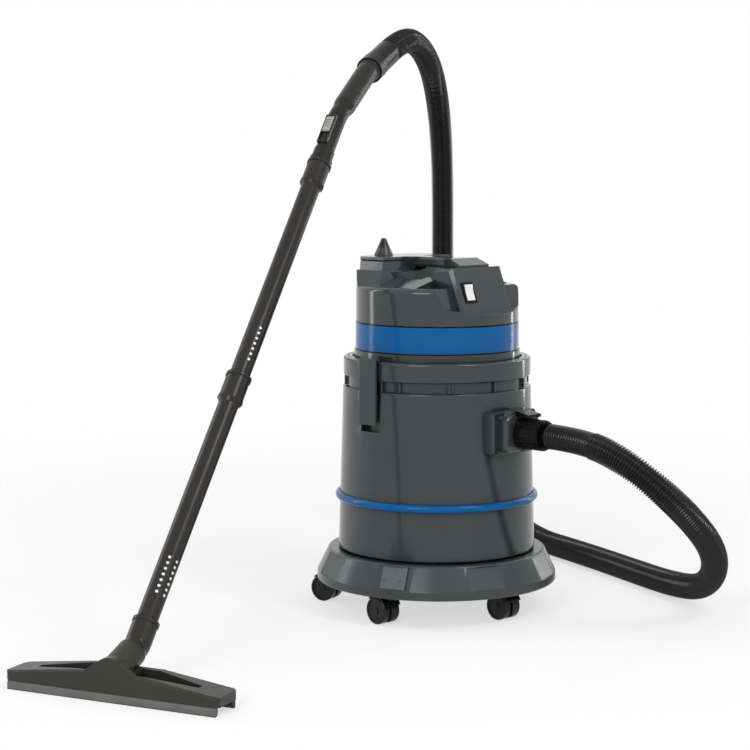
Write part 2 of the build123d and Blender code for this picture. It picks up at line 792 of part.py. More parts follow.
def make_motor_stator():
    core = pipe(stator_radius, armature_radius + 1, stator_bottom, stator_top)
    core += pipe(stator_radius - 6, armature_radius + 2, stator_bottom - winding_overhang,
                 stator_top + winding_overhang)
    arm = block((stator_radius - 1, -4, stator_bottom + 2),
                (casing_radius - casing_wall - 0.5, 4, stator_top - 4))
    for web in spread(arm, (15, 105, 195, 285)):
        core += web
    return core


def make_motor_armature():
    core = disc(armature_radius, stator_bottom + 1, stator_top - 1)
    core += disc(commutator_radius, stator_top - 1, stator_top + 8)
    slot = Pos(armature_radius, 0, (stator_bottom + stator_top) / 2) * Box(5, 3, 40)
    for cut in spread(slot, range(0, 360, 30)):
        core -= cut
    return core - disc(shaft_radius, 0, sky)


def make_motor_shaft():
    return disc(shaft_radius, head_plate_top + 10, casing_top + 6)


def make_motor_impeller():
    top = impeller_bottom + impeller_height
    wheel = disc(impeller_radius, impeller_bottom, impeller_bottom + 2.5)
    wheel += disc(impeller_hub, impeller_bottom, top)
    blade = block((impeller_hub - 3, -1, impeller_bottom + 2), (impeller_radius - 2, 1, top - 1.5))
    for item in spread(blade, range(0, 360, 45)):
        wheel += item
    wheel += pipe(impeller_radius, impeller_eye, top - 2, top)
    return wheel - disc(shaft_radius, 0, sky)


def make_motor_bearings():
    lows = (casing_web + 0.5, casing_top - web_thickness + 0.5)
    return [pipe(bearing_radius, shaft_radius + running_gap, low, low + bearing_width) for low in lows]


def make_filter_cage():
    low_ring = ledge_height - cage_plate
    cage = pipe(cartridge_outer, cage_opening, low_ring, ledge_height + 2)
    cage += disc(cartridge_outer, cage_bottom, cage_bottom + cage_plate)
    for bar in spread(disc(3, cage_bottom + 2, low_ring + 1, cage_bar_circle, 0), range(0, 360, 45)):
        cage += bar
    return cage


def make_filter_cartridge():
    points = []
    for index in range(pleat_count * 2):
        angle = math.radians(index * 180 / pleat_count)
        radius = cartridge_outer - 1 - pleat_depth * (1 - index % 2)
        points.append((radius * math.cos(angle), radius * math.sin(angle)))
    low = cage_bottom + cage_plate
    high = ledge_height - cage_plate
    star = make_face(Polyline(*points, close=True))
    pleats = extrude(star, amount=high - low - 2 * cartridge_cap + 2, dir=(0, 0, 1))
    body = Pos(0, 0, low + cartridge_cap - 1) * pleats
    body += disc(cartridge_outer, low, low + cartridge_cap)
    body += disc(cartridge_outer, high - cartridge_cap, high)
    return body - disc(cartridge_inner, 0, sky)


def make_float_ball():
    return Pos(0, 0, float_height) * Sphere(float_radius)


def hose_path():
    points = [Vector(*point) for point in hose_route]
    points += [hose_end + direction(cuff_tilt) * hose_end_run, hose_end]
    runs = [(b - a).length for a, b in zip(points, points[1:])]
    radii = []
    for index in range(1, len(points) - 1):
        before = points[index] - points[index - 1]
        turn = before.get_angle(points[index + 1] - points[index])
        radii.append(0.45 * min(runs[index - 1], runs[index]) / math.tan(math.radians(turn / 2)))
    print("hose bend radii", [round(radius) for radius in radii])
    print("least radius in diameters", round(min(radii) / hose_radius / 2, 2))
    return FilletPolyline(*points, radius=radii)


def steady_frames(path, shares):
    frames = []
    across = None
    for share in shares:
        ahead = path.tangent_at(share)
        across = ahead.cross(up) if across is None else across - ahead * across.dot(ahead)
        across = across.normalized()
        frames.append(Plane(origin=path.position_at(share), x_dir=across, z_dir=ahead))
    return frames


def make_hose():
    path = hose_path()
    length = path.length
    straight = 2 * hose_radius
    pitch = (length - 2 * straight) / hose_rib_count
    stations = [(0.0, hose_root_radius), (straight, hose_root_radius)]
    for index in range(hose_rib_count):
        start = straight + index * pitch
        stations += [(start + 0.20 * pitch, hose_root_radius), (start + 0.32 * pitch, hose_radius),
                     (start + 0.68 * pitch, hose_radius), (start + 0.80 * pitch, hose_root_radius)]
    stations += [(length - straight, hose_root_radius), (length, hose_root_radius)]
    frames = steady_frames(path, [min(1.0, place / length) for place, radius in stations])
    rings = [frame * Circle(radius) for frame, (place, radius) in zip(frames, stations)]
    hose = loft(rings, ruled=True) - sweep(frames[0] * Circle(hose_bore), path=path)
    mean = (hose_root_radius + hose_radius) / 2
    plain_volume = math.pi * (mean**2 - hose_bore**2) * length
    print("hose length", round(length), "volume", round(hose.volume), "plain tube", round(plain_volume))
    return hose


def make_swivel_cuff():
    axis = direction(cuff_tilt)
    cuff = taper_rod(collar_radius - 1, hose_radius + 0.5, swivel_point, axis, 0.3, swivel_cuff_length - 12)
    cuff += rod(hose_radius + 0.5, swivel_point, axis, swivel_cuff_length - 13, swivel_cuff_length)
    cuff += rod(hose_bore, swivel_point, axis, -swivel_spigot, 1)
    return cuff - rod(hose_bore - swivel_wall, swivel_point, axis, -swivel_spigot - 1, swivel_cuff_length + 1)


def slide_frame():
    axis = direction(wand_tilt)
    outward = wand_side.cross(axis)
    origin = grip_foot + axis * slide_place + outward * (tube_radius - 1.5)
    return Plane(origin=origin, x_dir=axis, z_dir=outward)


def make_hand_grip():
    axis = direction(wand_tilt)
    top = direction(cuff_tilt)
    foot = grip_foot - axis * socket_depth
    bends = [grip_bend_radius, grip_bend_radius]
    path = FilletPolyline(foot, low_bend, high_bend, swivel_point - top, radius=bends)
    start = Plane(origin=foot, x_dir=wand_side, z_dir=axis)
    grip = sweep(start * Circle(tube_radius), path=path)
    grip += rod(sleeve_radius, grip_foot, axis, 0, grip_sleeve)
    grip += rod(sleeve_radius + 2, grip_foot, axis, 0, 9)
    middle = direction(grip_tilt)
    thick_foot = low_bend + middle * thick_start
    thick_path = FilletPolyline(thick_foot, high_bend, swivel_point - top * 3, radius=grip_bend_radius)
    thick_plane = Plane(origin=thick_foot, x_dir=wand_side, z_dir=middle)
    grip += sweep(thick_plane * Circle(grip_radius), path=thick_path)
    grip += taper_rod(tube_radius - 1, grip_radius, low_bend, middle, thick_start - 22, thick_start)
    collar_foot = 2 - collar_length
    grip += taper_rod(grip_radius - 1, collar_radius - 2, swivel_point, top, collar_foot - 14, collar_foot)
    grip += rod(collar_radius, swivel_point, top, -collar_length, 0)
    grip -= sweep(start * Circle(grip_bore), path=path)
    grip -= rod(hose_bore + running_gap, swivel_point, top, -swivel_spigot - 1, 1)
    bed = slide_frame().location
    bed_length = slide_length + slide_travel
    grip += bed * Box(bed_length + 12, slide_width + 6, 8)
    grip -= bed * Pos(0, 0, 4) * Box(bed_length + 2, slide_width + 0.6, 6)
    return grip - bed * Pos(slide_travel / 2 + 4, 0, -4) * Box(12, 8, 14)


def make_suction_slide():
    upright = (Align.CENTER, Align.CENTER, Align.MIN)
    plate = Pos(slide_travel / 2, 0, 1.2) * Box(slide_length, slide_width, slide_height, align=upright)
    plate = chamfer(plate.edges().group_by(Axis.Z)[-1], 2)
    for offset in slide_ribs:
        plate -= Pos(offset + slide_travel / 2, 0, slide_height + 1.4) * Box(1.6, slide_width - 5, 1.6)
    return slide_frame().location * plate


def make_wand_tube(low, high):
    axis = direction(wand_tilt)
    foot = high - socket_length
    tube = rod(tube_radius, elbow_corner, axis, low, high)
    tube += taper_rod(tube_radius, socket_radius, elbow_corner, axis, foot - socket_taper, foot)
    tube += rod(socket_radius, elbow_corner, axis, foot, high)
    tube += rod(socket_radius + 1.5, elbow_corner, axis, high - 6, high)
    tube += rod(socket_radius + 1, elbow_corner, axis, foot, foot + 5)
    tube -= rod(tube_radius - tube_wall, elbow_corner, axis, low - 1, high + 1)
    return tube - rod(tube_radius + socket_gap, elbow_corner, axis, high - socket_depth - 0.5, high + 1)


def make_tool_elbow():
    axis = direction(wand_tilt)
    neck = direction(neck_tilt)
    foot = elbow_corner - neck * elbow_foot
    path = FilletPolyline(foot, elbow_corner, elbow_corner + axis * elbow_arm, radius=elbow_bend_radius)
    start = Plane(origin=foot, x_dir=wand_side, z_dir=neck)
    elbow = sweep(start * Circle(socket_radius), path=path)
    elbow += taper_rod(neck_radius, socket_radius, foot, neck, 5, 11) + rod(neck_radius, foot, neck, 0, 5)
    elbow += rod(socket_radius + 1.2, elbow_corner, axis, elbow_arm - 6, elbow_arm)
    elbow += rod(neck_spigot, foot, neck, -neck_spigot_length, 1)
    elbow -= sweep(start * Circle(neck_bore - 1.5), path=path)
    elbow -= rod(neck_bore - 1.5, foot, neck, -neck_spigot_length - 1, 2)
    return elbow - rod(tube_radius + socket_gap, elbow_corner, axis, elbow_arm - elbow_socket, elbow_arm + 1)


def tool_shell():
    """The floor tool's long body, with its hump and two pockets, in the tool's own frame."""
    half = tool_length / 2
    depth = tool_depth / 2
    outline = [(-half, tool_bottom), (half, tool_bottom), (half, tool_end_height),
               (tool_mid_half, tool_mid_height), (-tool_mid_half, tool_mid_height), (-half, tool_end_height)]
    face = make_face(Polyline(*[(x, -depth, z) for x, z in outline], close=True))
    body = extrude(face, amount=tool_depth, dir=(0, 1, 0))
    body = chamfer(body.edges().filter_by(Axis.Z), 6)
    front = body.faces().filter_by(Axis.Y).sort_by(Axis.Y)[0]
    body = chamfer(front.edges().filter_by(lambda edge: edge.center().Z >= tool_end_height), 3)
    ramp = [(-52, 40), (52, 40), (22, 62), (-22, 62)]
    ramp = make_face(Polyline(*[(x, -depth, z) for x, z in ramp], close=True))
    body += extrude(ramp, amount=26, dir=(0, 1, 0))
    body += Pos(0, -depth, tool_hump_top - tool_hump_radius) * Rot(-90, 0, 0) * disc(tool_hump_radius, 0, 34)
    pocket = [(30, 9 - depth), (tool_mid_half, 9 - depth), (tool_pocket_end, -7), (tool_pocket_end, 5),
              (tool_mid_half, depth - 10), (30, depth - 10)]
    pocket = slab(pocket, tool_bottom + 10, pocket, 90)
    body = body - pocket - mirror(pocket, about=Plane.YZ)
    return body + block((24 - half, -2, tool_bottom + 6), (half - 24, 2, tool_bottom + 14))


def make_floor_tool_body():
    half = tool_length / 2
    depth = tool_depth / 2
    neck = direction(neck_tilt)
    body = tool_frame.location * tool_shell()
    body += rod(neck_radius, tool_middle, neck, -24, neck_seat - 0.3)
    socket_floor = neck_seat - neck_spigot_length - 1
    body -= rod(neck_spigot + running_gap, tool_middle, neck, socket_floor, neck_seat + 10)
    body -= rod(neck_bore, tool_middle, neck, -6, neck_seat + 10)
    throat = disc(tool_throat, tool_bottom - 1, tool_middle.Z)
    mouth = block((12 - half, 11 - depth, tool_bottom - 1),
                  (half - 12, depth - 11, tool_bottom + mouth_height))
    return body - tool_frame.location * throat - tool_frame.location * mouth


def make_tool_lip(side):
    half = lip_length / 2
    edge = tool_depth / 2 + 1
    inner = edge - lip_thickness
    outline = [(edge, 0), (inner + 3, 0), (inner, 5), (inner, tool_bottom), (edge - 2, tool_bottom),
               (edge, tool_bottom - 4)]
    return tool_frame.location * prism_x([(side * y, z) for y, z in outline], -half, half)


pieces = {
    "trolley_base": make_trolley_base(),
    "tank": make_tank(),
    "bumper_ring": make_bumper_ring(),
    "latch_right": make_latch(),
    "latch_left": mirror(make_latch(), about=Plane.YZ),
    "latch_pins": make_latch_pins(),
    "inlet_housing": make_inlet_housing(),
    "inlet_seal": make_inlet_seal(),
    "inlet_screws": make_inlet_screws(),
    "inlet_catch": make_inlet_catch(),
    "inlet_catch_pin": make_inlet_catch_pin(),
    "inlet_deflector": make_inlet_deflector(),
    "hose_inlet_cuff": make_hose_inlet_cuff(),
    "head_base": make_head_base(),
    "head_seal": make_head_seal(),
    "head_band": make_head_band(),
    "head_cover": make_head_cover(),
    "head_screws": make_head_screws(),
    "cord_gland": make_cord_gland(),
    "switch_frame": make_switch_frame(),
    "switch_rocker": make_switch_rocker(),
    "motor_casing": make_motor_casing(),
    "motor_stator": make_motor_stator(),
    "motor_armature": make_motor_armature(),
    "motor_shaft": make_motor_shaft(),
    "motor_impeller": make_motor_impeller(),
    "motor_bearings": make_motor_bearings(),
    "filter_cage": make_filter_cage(),
    "filter_cartridge": make_filter_cartridge(),
    "float_ball": make_float_ball(),
    "hose": make_hose(),
    "hose_handle_cuff": make_swivel_cuff(),
    "hand_grip": make_hand_grip(),
    "suction_slide": make_suction_slide(),
    "upper_tube": make_wand_tube(middle_joint - socket_depth, wand_run),
    "lower_tube": make_wand_tube(elbow_arm - elbow_socket + 1, middle_joint),
    "floor_tool_elbow": make_tool_elbow(),
    "floor_tool_body": make_floor_tool_body(),
    "floor_tool_front_lip": make_tool_lip(-1),
    "floor_tool_rear_lip": make_tool_lip(1),
}
for number in range(len(castor_angles)):
    place = castor_frame(number)
    pieces[f"castor_{number + 1}_hood"] = place * make_castor_hood()
    pieces[f"castor_{number + 1}_stem"] = place * make_castor_stem()
    pieces[f"castor_{number + 1}_wheels"] = place * make_castor_wheels()

if __name__ == "__main__":
    os.makedirs("parts", exist_ok=True)
    for name, shape in pieces.items():
        group = Compound(shape) if isinstance(shape, list) else shape
        export_step(group, f"parts/{name}.step")
    print(len(pieces), "pieces")
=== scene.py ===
import json
import math

import bmesh
import bpy
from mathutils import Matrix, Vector


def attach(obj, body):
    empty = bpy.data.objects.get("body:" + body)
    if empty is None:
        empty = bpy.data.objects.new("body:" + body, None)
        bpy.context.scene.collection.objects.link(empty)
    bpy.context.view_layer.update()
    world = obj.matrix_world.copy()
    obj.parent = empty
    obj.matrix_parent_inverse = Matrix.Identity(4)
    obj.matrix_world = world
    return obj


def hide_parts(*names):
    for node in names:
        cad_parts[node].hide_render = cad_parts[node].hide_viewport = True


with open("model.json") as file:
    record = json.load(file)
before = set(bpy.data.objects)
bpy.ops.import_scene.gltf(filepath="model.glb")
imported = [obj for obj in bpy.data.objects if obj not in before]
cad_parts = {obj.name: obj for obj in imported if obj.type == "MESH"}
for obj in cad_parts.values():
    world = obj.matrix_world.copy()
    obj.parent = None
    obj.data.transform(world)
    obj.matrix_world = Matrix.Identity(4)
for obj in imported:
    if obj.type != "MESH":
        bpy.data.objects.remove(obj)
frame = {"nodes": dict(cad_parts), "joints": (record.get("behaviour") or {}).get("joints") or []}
nodes = frame["nodes"]
joints = {joint["name"]: joint for joint in frame["joints"]}
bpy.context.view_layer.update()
scene = bpy.context.scene
swivelAxis = Vector(joints["handle_swivel"]["axis"])
swivelPlace = Vector(joints["handle_swivel"]["pos_m"])
print("frame loaded:", len(nodes), "nodes")


# One output socket, usable in a Python expression
class Value:
    def __init__(self, paint, socket):
        self.paint = paint
        self.socket = socket

    # another output of the same node
    def beside(self, output):
        return Value(self.paint, self.socket.node.outputs[output])

    def __add__(self, other):
        return self.paint.math("ADD", self, other)

    def __radd__(self, other):
        return self.paint.math("ADD", other, self)

    def __sub__(self, other):
        return self.paint.math("SUBTRACT", self, other)

    def __rsub__(self, other):
        return self.paint.math("SUBTRACT", other, self)

    def __mul__(self, other):
        return self.paint.math("MULTIPLY", self, other)

    def __rmul__(self, other):
        return self.paint.math("MULTIPLY", other, self)

    def __truediv__(self, other):
        return self.paint.math("DIVIDE", self, other)

    def __rtruediv__(self, other):
        return self.paint.math("DIVIDE", other, self)


# The nodes of a material or of the world
class Paint:
    def __init__(self, owner):
        self.owner = owner
        owner.use_nodes = True
        self.tree = owner.node_tree
        self.tree.nodes.clear()

    # every node is made here: its settings first, then the values or links of its sockets
    def node(self, kind, settings, sockets, output=0):
        made = self.tree.nodes.new(kind)
        for key, value in settings.items():
            if key == "stops":
                ramp = made.color_ramp.elements
                while len(ramp) < len(value):
                    ramp.new(0.5)
                for element, (place, level) in zip(ramp, value):
                    element.position = place
                    element.color = (level, level, level, 1)
            else:
                setattr(made, key, value)
        for key, value in sockets.items():
            if isinstance(value, Value):
                self.tree.links.new(value.socket, made.inputs[key])
            else:
                made.inputs[key].default_value = value
        return Value(self, made.outputs[output]) if made.outputs else None

    def math(self, operation, a, b):
        return self.node("ShaderNodeMath", {"operation": operation}, {0: a, 1: b})


sampling = {"edges": 4, "paintedCreviceShade": 6}


# A material with one principled shader, painted in the object's own coordinates
class Surface(Paint):
    def __init__(self, name, constants):
        super().__init__(bpy.data.materials.new(name))
        self.shader = self.node("ShaderNodeBsdfPrincipled", {}, constants)
        self.place = self.node("ShaderNodeTexCoord", {}, {}, "Object")

    # links what varies over the surface to the shader, and gives the finished material
    def feed(self, **links):
        inputs = self.shader.socket.node.inputs
        for key, value in links.items():
            self.tree.links.new(value.socket, inputs[key.replace("_", " ")])
        return self.show(self.shader)

    def show(self, shader):
        self.node("ShaderNodeOutputMaterial", {}, {"Surface": shader})
        return self.owner

    def dot(self, a, b):
        return self.node("ShaderNodeVectorMath", {"operation": "DOT_PRODUCT"}, {0: a, 1: b}, "Value")

    # 1 between two limits, 0 outside them
    def within(self, value, low, high):
        return self.math("GREATER_THAN", value, low) * self.math("LESS_THAN", value, high)

    def noise(self, scale, detail, stretch=None):
        place = self.place
        if stretch:
            place = self.node("ShaderNodeVectorMath", {"operation": "MULTIPLY"}, {0: place, 1: stretch})
        return self.node("ShaderNodeTexNoise", {}, {"Vector": place, "Scale": scale, "Detail": detail})

    def ramp(self, value, stops):
        return self.node("ShaderNodeValToRGB", {"stops": stops}, {0: value})

    def mix(self, factor, a, b):
        colours = {6: a if isinstance(a, Value) else (*a, 1), 7: b if isinstance(b, Value) else (*b, 1)}
        return self.node("ShaderNodeMix", {"data_type": "RGBA"}, {0: factor, **colours}, 2)

    def roundEdges(self, radius):
        return self.node("ShaderNodeBevel", {"samples": sampling["edges"]}, {"Radius": radius})

    # 0 on open faces, rising to 1 at the edges
    def edges(self, rounded, gain):
        flat = self.node("ShaderNodeNewGeometry", {}, {}, "Normal")
        return self.node("ShaderNodeClamp", {}, {0: (1 - self.dot(rounded, flat)) * gain})

    # Painted shade: 0 on open faces, rising to 1 in joints and grooves, where shade falls
    def paintedCreviceShade(self, depth, gain):
        settings = {"samples": sampling["paintedCreviceShade"]}
        openness = self.node("ShaderNodeAmbientOcclusion", settings, {"Distance": depth}, "AO")
        return self.node("ShaderNodeClamp", {}, {0: (1 - openness) * gain})

    def bump(self, height, distance, strength, normal):
        sockets = {"Height": height, "Distance": distance, "Strength": strength, "Normal": normal}
        return self.node("ShaderNodeBump", {}, sockets)


# Plastics: noises are scale, detail and stretch
plasticBasics = {
    "ior": 1.5, "specular": 0.5, "coat": 0.0, "coatRoughness": 0.1, "edge": 0.0012,
    # edges are lightened as a painted highlight together with edge wear
    "wearAndHighlight": 0.5, "wearAndHighlightGain": 2.4, "wearRoughness": 0.08,
    "cloud": (7.0, 3.0), "cloudStops": ((0.3, 0.0), (0.7, 1.0)),
    "grain": (900.0, 3.0), "grainDepth": 0.00012, "grainStrength": 0.6, "roughSpread": 0.10,
    "streak": (60.0, 4.0, (1.0, 1.0, 0.12)), "streakStops": ((0.56, 0.0), (0.72, 1.0)), "scuff": 0.06,
    "wave": (9.0, 1.0), "waveDepth": 0.0016, "waveStrength": 0.5,
    # the crevice values set the painted shade in joints and grooves; the same near-black also paints real
    # black trim
    "creviceShadeDepth": 0.018, "creviceShadeGain": 1.1, "shadeAndBlackColour": (0.003, 0.003, 0.003),
    "blackAndShadowZones": (),
}
plastics = {
    "housing": {"colour": (0.033, 0.043, 0.044), "shade": (0.039, 0.050, 0.051),
                "wearAndHighlightColour": (0.13, 0.145, 0.145), "roughness": 0.11, "specular": 0.36,
                "roughSpread": 0.06, "grainDepth": 0.00006},
    "base": {"colour": (0.036, 0.046, 0.047), "shade": (0.043, 0.054, 0.055),
             "wearAndHighlightColour": (0.14, 0.155, 0.155), "roughness": 0.22, "specular": 0.34, "grain": (700.0, 3.0),
             # a facet painted paler as painted light, with a painted shadow strip beside it
             "pad": {"turn": -68.0, "half": 0.0235, "gap": 0.003, "low": 0.072, "high": 0.1085,
                     "near": 0.15, "far": 1.0, "colour": (0.098, 0.112, 0.117)}},
    "gland": {"colour": (0.033, 0.043, 0.044), "shade": (0.039, 0.050, 0.051),
              "wearAndHighlightColour": (0.10, 0.115, 0.115), "roughness": 0.30, "specular": 0.34,
              "blackAndShadowZones": ((0.660, 0.700),)},
    "blue": {"colour": (0.0015, 0.092, 0.285), "shade": (0.0020, 0.099, 0.305),
             "wearAndHighlightColour": (0.02, 0.17, 0.45), "roughness": 0.13, "specular": 0.14,
             "scuff": 0.03, "roughSpread": 0.04},
    "black": {"colour": (0.005, 0.005, 0.0048), "shade": (0.007, 0.007, 0.0066),
              "wearAndHighlightColour": (0.030, 0.030, 0.028), "roughness": 0.15, "specular": 0.11},
    "wand": {"colour": (0.021, 0.019, 0.016), "shade": (0.026, 0.024, 0.020),
             "wearAndHighlightColour": (0.085, 0.080, 0.072), "roughness": 0.25, "specular": 0.20},
    "tool": {"colour": (0.027, 0.026, 0.023), "shade": (0.033, 0.032, 0.028),
             "wearAndHighlightColour": (0.095, 0.093, 0.085), "roughness": 0.38, "specular": 0.26,
             "grain": (600.0, 3.0), "grainDepth": 0.0002},
    "slide": {"colour": (0.33, 0.335, 0.31), "shade": (0.37, 0.375, 0.35),
              "wearAndHighlightColour": (0.5, 0.5, 0.48), "roughness": 0.42},
    "rocker": {"colour": (0.80, 0.80, 0.79), "shade": (0.83, 0.83, 0.82),
               "wearAndHighlightColour": (0.85, 0.85, 0.84), "roughness": 0.24, "coat": 0.3},
    "marks": {"colour": (0.74, 0.74, 0.72), "shade": (0.78, 0.78, 0.76),
              "wearAndHighlightColour": (0.8, 0.8, 0.8), "roughness": 0.4, "edge": 0.0002},
    "castor": {"colour": (0.006, 0.006, 0.006), "shade": (0.009, 0.009, 0.009),
               "wearAndHighlightColour": (0.045, 0.045, 0.045), "roughness": 0.28, "specular": 0.22},
    "float": {"colour": (0.62, 0.20, 0.05), "shade": (0.68, 0.24, 0.06),
              "wearAndHighlightColour": (0.7, 0.3, 0.1), "roughness": 0.45},
}
gripCollar = 0.0275  # how far the dark collar at the grip's upper end reaches down from the swivel
plastics["grip"] = {**plastics["wand"], "colour": (0.013, 0.012, 0.010), "shade": (0.017, 0.016, 0.013),
                    "darkEnd": (tuple(swivelAxis), swivelAxis.dot(swivelPlace) - gripCollar)}
# painted shadow lines at the band's top and bottom edges, where it meets the drum
plastics["band"] = {**plastics["blue"], "blackAndShadowZones": ((0.479, 0.4813), (0.5277, 0.530))}


# A pad on one facet of the base painted paler, a painted highlight of the facet catching light, with a painted
# shadow along one side
def paintedLitFacet(paint, body, height, pad, gapColour):
    turn = math.radians(pad["turn"])
    along = paint.dot(paint.place, (math.cos(turn), math.sin(turn), 0))
    outward = paint.dot(paint.place, (math.sin(turn), -math.cos(turn), 0))
    onFacet = paint.within(height, pad["low"], pad["high"]) * paint.within(outward, pad["near"], pad["far"])
    body = paint.mix(onFacet * paint.within(along, -pad["half"], pad["half"]), body, pad["colour"])
    return paint.mix(onFacet * paint.within(along, pad["half"], pad["half"] + pad["gap"]), body, gapColour)


def mouldedPlastic(name, look):
    paint = Surface(name, {"IOR": look["ior"], "Specular IOR Level": look["specular"],
                           "Coat Weight": look["coat"], "Coat Roughness": look["coatRoughness"]})
    rounded = paint.roundEdges(look["edge"])
    wornAndHighlit = paint.edges(rounded, look["wearAndHighlightGain"])
    cloud = paint.ramp(paint.noise(*look["cloud"]), look["cloudStops"])
    grain = paint.noise(*look["grain"])
    scuff = paint.ramp(paint.noise(*look["streak"]), look["streakStops"])
    # dark: the near-black of the painted shade in crevices, the painted shadow lines and strip, and the real
    # black tip and collar
    dark = look["shadeAndBlackColour"]
    body = paint.mix(cloud, look["colour"], look["shade"])
    # painted highlight along the edges, together with edge wear
    body = paint.mix(wornAndHighlit * look["wearAndHighlight"], body, look["wearAndHighlightColour"])
    # painted shade: darkened towards near-black in joints and grooves
    body = paint.mix(paint.paintedCreviceShade(look["creviceShadeDepth"], look["creviceShadeGain"]), body, dark)
    height = paint.node("ShaderNodeSeparateXYZ", {}, {0: paint.place}, "Z")
    # near-black bands: the painted shadow lines of the blue band, and the real black tip of the cord gland
    for low, high in look["blackAndShadowZones"]:
        body = paint.mix(paint.within(height, low, high), body, dark)
    if "darkEnd" in look:
        axis, start = look["darkEnd"]
        body = paint.mix(paint.math("GREATER_THAN", paint.dot(paint.place, axis), start), body, dark)
    # painted highlight on one facet of the base, with a painted shadow strip beside it
    if "pad" in look:
        body = paintedLitFacet(paint, body, height, look["pad"], dark)
    roughness = look["roughness"] + (grain - 0.5) * look["roughSpread"]
    roughness = roughness + scuff * look["scuff"] + wornAndHighlit * look["wearRoughness"]
    skin = paint.bump(grain, look["grainDepth"], look["grainStrength"], rounded)
    waves = paint.bump(paint.noise(*look["wave"]), look["waveDepth"], look["waveStrength"], skin)
    return paint.feed(Base_Color=body, Roughness=roughness, Normal=waves)


# Rubbers
rubberBasics = {
    "ior": 1.5, "specular": 0.3, "edge": 0.0008, "wearAndHighlight": 0.4, "wearAndHighlightGain": 2.0,
    "dustCloud": (30.0, 5.0), "dustStops": ((0.45, 0.0), (0.75, 1.0)), "dustRoughness": 0.08,
    "grain": (1400.0, 2.0), "grainDepth": 0.0001, "grainStrength": 0.5, "roughSpread": 0.12,
    "creviceShadeDepth": 0.004, "creviceShadeGain": 1.2, "shadeAndBlackColour": (0.001, 0.001, 0.001),
}
rubbers = {
    "hose": {"colour": (0.0042, 0.0040, 0.0034), "dustColour": (0.014, 0.013, 0.011), "dust": 0.25,
             "roughness": 0.11, "edge": 0.0004, "specular": 0.26},
    "seal": {"colour": (0.010, 0.010, 0.010), "dustColour": (0.04, 0.04, 0.04), "dust": 0.3,
             "roughness": 0.6, "edge": 0.0006},
    "frontLip": {"colour": (0.120, 0.122, 0.110), "dustColour": (0.17, 0.17, 0.155), "dust": 0.6,
                 "roughness": 0.55},
    "rearLip": {"colour": (0.020, 0.020, 0.019), "dustColour": (0.06, 0.06, 0.055), "dust": 0.5,
                "roughness": 0.55},
}


def rubber(name, look):
    paint = Surface(name, {"IOR": look["ior"], "Specular IOR Level": look["specular"]})
    rounded = paint.roundEdges(look["edge"])
    wornAndHighlit = paint.edges(rounded, look["wearAndHighlightGain"])
    dust = paint.ramp(paint.noise(*look["dustCloud"]), look["dustStops"])
    grain = paint.noise(*look["grain"])
    body = paint.mix(dust * look["dust"], look["colour"], look["dustColour"])
    # edges lighter towards the dust colour: edge wear and a painted highlight
    body = paint.mix(wornAndHighlit * look["wearAndHighlight"], body, look["dustColour"])
    # painted shade: darker in the grooves between the ribs and in joints
    body = paint.mix(paint.paintedCreviceShade(look["creviceShadeDepth"], look["creviceShadeGain"]), body, look["shadeAndBlackColour"])
    roughness = look["roughness"] + (grain - 0.5) * look["roughSpread"] + dust * look["dustRoughness"]
    skin = paint.bump(grain, look["grainDepth"], look["grainStrength"], rounded)
    return paint.feed(Base_Color=body, Roughness=roughness, Normal=skin)


# Metals
metalBasics = {
    "edge": 0.0004, "brush": (220.0, 3.0), "brushDepth": 0.00006, "brushStrength": 0.4, "roughSpread": 0.25,
    "patch": (35.0, 4.0), "patchStops": ((0.4, 0.0), (0.7, 1.0)),
}
metals = {
    "steel": {"colour": (0.56, 0.56, 0.57), "shade": (0.48, 0.48, 0.49), "roughness": 0.34,
              "stretch": (1, 1, 12)},
    "aluminium": {"colour": (0.72, 0.73, 0.74), "shade": (0.64, 0.65, 0.66), "roughness": 0.42,
                  "stretch": (1, 1, 6)},
    "darkSteel": {"colour": (0.045, 0.047, 0.048), "shade": (0.032, 0.033, 0.034), "roughness": 0.45,
                  "stretch": (1, 1, 4)},
    "core": {"colour": (0.30, 0.17, 0.09), "shade": (0.20, 0.19, 0.18), "roughness": 0.5,
             "stretch": (1, 1, 30)},
}


def metal(name, look):
    paint = Surface(name, {"Metallic": 1.0})
    rounded = paint.roundEdges(look["edge"])
    brushed = paint.noise(*look["brush"], look["stretch"])
    patch = paint.ramp(paint.noise(*look["patch"]), look["patchStops"])
    return paint.feed(Base_Color=paint.mix(patch, look["colour"], look["shade"]),
                      Roughness=look["roughness"] + (brushed - 0.5) * look["roughSpread"],
                      Normal=paint.bump(brushed, look["brushDepth"], look["brushStrength"], rounded))


# Paper of the filter
paper = {
    "colour": (0.74, 0.72, 0.65), "shade": (0.60, 0.57, 0.49), "roughness": 0.82, "roughSpread": 0.2,
    "sheen": 0.2, "edge": 0.0005, "fibre": (420.0, 6.0), "fibreDepth": 0.0003, "fibreStrength": 0.7,
    "dust": (18.0, 4.0), "dustStops": ((0.4, 0.0), (0.8, 1.0)),
}


def filterPaper(name, look):
    paint = Surface(name, {"Sheen Weight": look["sheen"]})
    rounded = paint.roundEdges(look["edge"])
    fibre = paint.noise(*look["fibre"])
    dust = paint.ramp(paint.noise(*look["dust"]), look["dustStops"])
    return paint.feed(Base_Color=paint.mix(dust, look["colour"], look["shade"]),
                      Roughness=look["roughness"] + (fibre - 0.5) * look["roughSpread"],
                      Normal=paint.bump(fibre, look["fibreDepth"], look["fibreStrength"], rounded))


